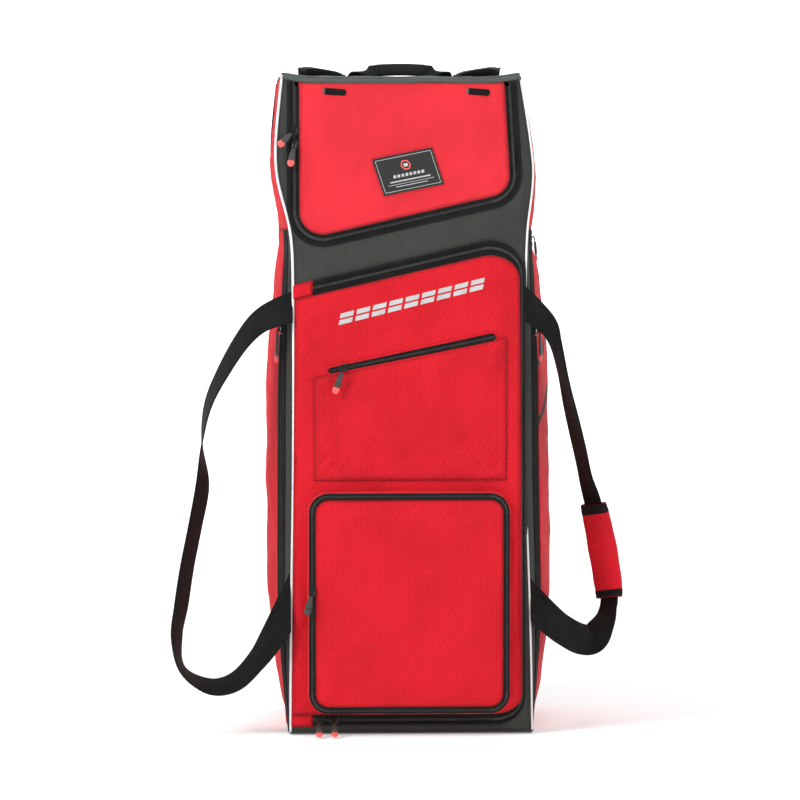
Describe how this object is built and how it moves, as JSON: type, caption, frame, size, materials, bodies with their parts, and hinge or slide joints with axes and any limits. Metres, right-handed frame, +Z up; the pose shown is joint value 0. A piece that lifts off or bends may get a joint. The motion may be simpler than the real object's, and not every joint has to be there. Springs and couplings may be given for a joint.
{
  "type": "upright equipment bag",
  "caption": "Tall upright two-compartment equipment bag with zipped front door, top flap, front and side pockets, webbing side handles and shoulder straps.",
  "frame": {"origin": "middle of the underside that the bag stands on", "axes": "+Z up along the bag's height, front of the bag towards -Y, its right side as seen from the front towards +X"},
  "size_m": [0.6564, 0.3993, 0.9525],
  "materials": {
    "red_fabric": "woven polyester with a small honeycomb pattern",
    "grey_fabric": "plain woven polyester",
    "black_fabric": "padded black fabric",
    "black_webbing": "woven webbing",
    "zip_tape": "woven tape with coil teeth",
    "white_piping": "reflective piping",
    "lining": "coated lining",
    "board": "stiffener sheet",
    "label": "moulded patch",
    "slider_metal": "black gunmetal",
    "pull_rubber": "moulded pull with a coloured tip"
  },
  "bodies": {
    "root": {"back_board": "board", "back_panel": "black_fabric", "base_board": "board", "bottom_panel": "grey_fabric", "compartment_divider": "lining", "flap_zip_outer_tape": "zip_tape", "front_lower_frame": "grey_fabric", "front_upper_panel": "grey_fabric", "left_piping": "white_piping", "left_shoulder_strap": "black_fabric", "left_side_gusset": "grey_fabric", "left_side_lining": "lining", "left_side_pocket_panel": "red_fabric", "left_side_zip_tape": "zip_tape", "left_upper_side_panel": "red_fabric", "main_zip_outer_tape": "zip_tape", "right_piping": "white_piping", "right_shoulder_strap": "black_fabric", "right_side_gusset": "grey_fabric", "right_side_lining": "lining", "right_side_pocket_panel": "red_fabric", "right_side_top_zip_tape": "zip_tape", "right_side_zip_tape": "zip_tape", "right_upper_side_panel": "red_fabric", "top_panel": "grey_fabric", "zip_end_tab_lower": "red_fabric", "zip_end_tab_upper": "red_fabric"},
    "top_flap": {"top_flap_panel": "red_fabric", "left_flap_loop": "black_webbing", "right_flap_loop": "black_webbing", "label_patch": "label"},
    "main_door": {"main_door_panel": "red_fabric", "main_zip_inner_tape": "zip_tape", "mid_pocket_panel": "red_fabric", "mid_pocket_zip": "zip_tape", "lower_pocket_wall": "red_fabric"},
    "lower_pocket_front": {"lower_pocket_cover": "red_fabric", "lower_pocket_zip_band": "zip_tape"},
    "left_handle": {"left_handle_webbing": "black_webbing"},
    "right_handle": {"right_handle_webbing": "black_webbing", "grip_wrap": "red_fabric"},
    "haul_handle": {"haul_handle_loop": "black_webbing"},
    "flap_upper_slider": {"flap_upper_slider": "slider_metal"},
    "flap_upper_pull": {"flap_upper_pull": "pull_rubber"},
    "flap_lower_slider": {"flap_lower_slider": "slider_metal"},
    "flap_lower_pull": {"flap_lower_pull": "pull_rubber"},
    "main_left_slider": {"main_left_slider": "slider_metal"},
    "main_left_pull": {"main_left_pull": "pull_rubber"},
    "main_right_slider": {"main_right_slider": "slider_metal"},
    "main_right_pull": {"main_right_pull": "pull_rubber"},
    "mid_pocket_slider": {"mid_pocket_slider": "slider_metal"},
    "mid_pocket_pull": {"mid_pocket_pull": "pull_rubber"},
    "lower_pocket_slider": {"lower_pocket_slider": "slider_metal"},
    "lower_pocket_pull": {"lower_pocket_pull": "pull_rubber"},
    "left_side_slider": {"left_side_slider": "slider_metal"},
    "left_side_pull": {"left_side_pull": "pull_rubber"},
    "right_side_slider": {"right_side_slider": "slider_metal"},
    "right_side_pull": {"right_side_pull": "pull_rubber"},
    "right_top_slider": {"right_top_slider": "slider_metal"},
    "right_top_pull": {"right_top_pull": "pull_rubber"}
  },
  "joints": [
    {"name": "top_flap_hinge", "type": "hinge", "parent": "root", "child": "top_flap", "pos_m": [0, -0.16, 0.93], "axis": [-1, 0, 0], "range_deg": [0, 110]},
    {"name": "main_door_hinge", "type": "hinge", "parent": "root", "child": "main_door", "pos_m": [-0.1625, -0.16, 0.3], "axis": [0, 0, -1], "range_deg": [0, 80]},
    {"name": "lower_pocket_hinge", "type": "hinge", "parent": "main_door", "child": "lower_pocket_front", "pos_m": [0, -0.1848, 0.033], "axis": [1, 0, 0], "range_deg": [0, 45]},
    {"name": "haul_handle_hinge", "type": "hinge", "parent": "root", "child": "haul_handle", "pos_m": [0, 0.152, 0.945], "axis": [-1, 0, 0], "range_deg": [0, 150]},
    {"name": "left_handle_hinge", "type": "hinge", "parent": "root", "child": "left_handle", "pos_m": [-0.169, -0.16, 0.4], "axis": [0, 0, -1], "range_deg": [-30, 15]},
    {"name": "right_handle_hinge", "type": "hinge", "parent": "root", "child": "right_handle", "pos_m": [0.171, -0.16, 0.4], "axis": [0, 0, 1], "range_deg": [-25, 0]},
    {"name": "flap_upper_zip", "type": "slide", "parent": "top_flap", "child": "flap_upper_slider", "axis": [0, 0, -1], "range_m": [-0.05, 0]},
    {"name": "flap_upper_pull_hinge", "type": "hinge", "parent": "flap_upper_slider", "child": "flap_upper_pull", "pos_m": [-0.1633, -0.1687, 0.862], "axis": [-0.7071, 0, 0.7071], "range_deg": [0, 140]},
    {"name": "flap_lower_zip", "type": "slide", "parent": "top_flap", "child": "flap_lower_slider", "axis": [0, 0, -1], "range_m": [0, 0.07]},
    {"name": "flap_lower_pull_hinge", "type": "hinge", "parent": "flap_lower_slider", "child": "flap_lower_pull", "pos_m": [-0.1633, -0.1687, 0.843], "axis": [-0.9806, 0, 0.1961], "range_deg": [0, 140]},
    {"name": "main_left_zip", "type": "slide", "parent": "main_door", "child": "main_left_slider", "axis": [1, 0, 0], "range_m": [0, 0.006]},
    {"name": "main_left_pull_hinge", "type": "hinge", "parent": "main_left_slider", "child": "main_left_pull", "pos_m": [-0.13, -0.1727, 0.021], "axis": [-1, 0, 0], "range_deg": [0, 40]},
    {"name": "main_right_zip", "type": "slide", "parent": "main_door", "child": "main_right_slider", "axis": [1, 0, 0], "range_m": [0, 0.215]},
    {"name": "main_right_pull_hinge", "type": "hinge", "parent": "main_right_slider", "child": "main_right_pull", "pos_m": [-0.108, -0.1727, 0.021], "axis": [-1, 0, 0], "range_deg": [0, 40]},
    {"name": "mid_pocket_zip", "type": "slide", "parent": "main_door", "child": "mid_pocket_slider", "axis": [0.9796, 0, 0.2008], "range_m": [-0.028, 0.2]},
    {"name": "mid_pocket_pull_hinge", "type": "hinge", "parent": "mid_pocket_slider", "child": "mid_pocket_pull", "pos_m": [-0.095, -0.1791, 0.52476], "axis": [-0.9468, 0, 0.3219], "range_deg": [0, 140]},
    {"name": "lower_pocket_zip", "type": "slide", "parent": "lower_pocket_front", "child": "lower_pocket_slider", "axis": [0, 0, -1], "range_m": [-0.09, 0]},
    {"name": "lower_pocket_pull_hinge", "type": "hinge", "parent": "lower_pocket_slider", "child": "lower_pocket_pull", "pos_m": [-0.13975, -0.1975, 0.2085], "axis": [-0.9724, 0, 0.2334], "range_deg": [0, 140]},
    {"name": "left_side_zip", "type": "slide", "parent": "root", "child": "left_side_slider", "axis": [-0.0354, -0.0116, -0.9993], "range_m": [0, 0.1]},
    {"name": "left_side_pull_hinge", "type": "hinge", "parent": "left_side_slider", "child": "left_side_pull", "pos_m": [-0.18743, -0.13632, 0.57932], "axis": [-0.3123, 0.95, 0], "range_deg": [0, 75]},
    {"name": "right_side_zip", "type": "slide", "parent": "root", "child": "right_side_slider", "axis": [0.0329, -0.0109, -0.9994], "range_m": [0, 0.1]},
    {"name": "right_side_pull_hinge", "type": "hinge", "parent": "right_side_slider", "child": "right_side_pull", "pos_m": [0.18764, -0.13634, 0.5763], "axis": [-0.315, -0.9491, 0], "range_deg": [0, 14]},
    {"name": "right_top_zip", "type": "slide", "parent": "root", "child": "right_top_slider", "axis": [0, 1, 0], "range_m": [-0.045, 0.045]},
    {"name": "right_top_pull_hinge", "type": "hinge", "parent": "right_top_slider", "child": "right_top_pull", "pos_m": [0.19036, 0, 0.70768], "axis": [0, -1, 0], "range_deg": [0, 140]}
  ]
}
